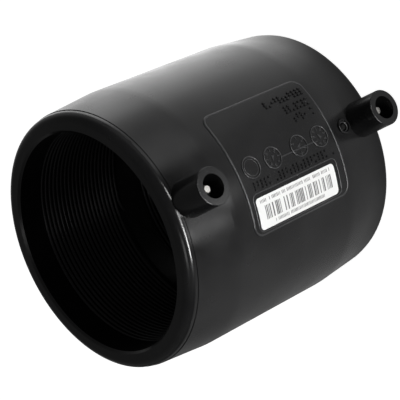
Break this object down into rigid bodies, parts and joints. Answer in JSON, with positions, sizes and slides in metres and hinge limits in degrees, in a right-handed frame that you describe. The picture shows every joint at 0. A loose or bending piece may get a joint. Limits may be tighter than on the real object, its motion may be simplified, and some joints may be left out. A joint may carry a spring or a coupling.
{
  "type": "electrofusion coupler",
  "caption": "Black polyethylene sleeve that joins two plastic pipes by melting: shrouded contact pins, fusion indicators, a wound heating wire in the bore and a white label.",
  "frame": {"origin": "on the bore axis at mid-length, where the two pipe ends meet", "axes": "+Z along the bore axis, out of the upper socket; the two contact pins stand towards -Y"},
  "size_m": [0.135, 0.152, 0.1436],
  "materials": {
    "body": "satin moulded polyethylene",
    "wire_sheath": "smooth sheath",
    "contact": "tin-plated, turned",
    "indicator": "moulded",
    "label": "white film with dark bars"
  },
  "bodies": {
    "root": {"coupler_body": "body", "heating_wire": "wire_sheath", "terminal_pin_upper": "contact", "terminal_pin_lower": "contact", "fusion_indicator_upper": "indicator", "fusion_indicator_lower": "indicator", "barcode_label": "label"}
  },
  "joints": []
}
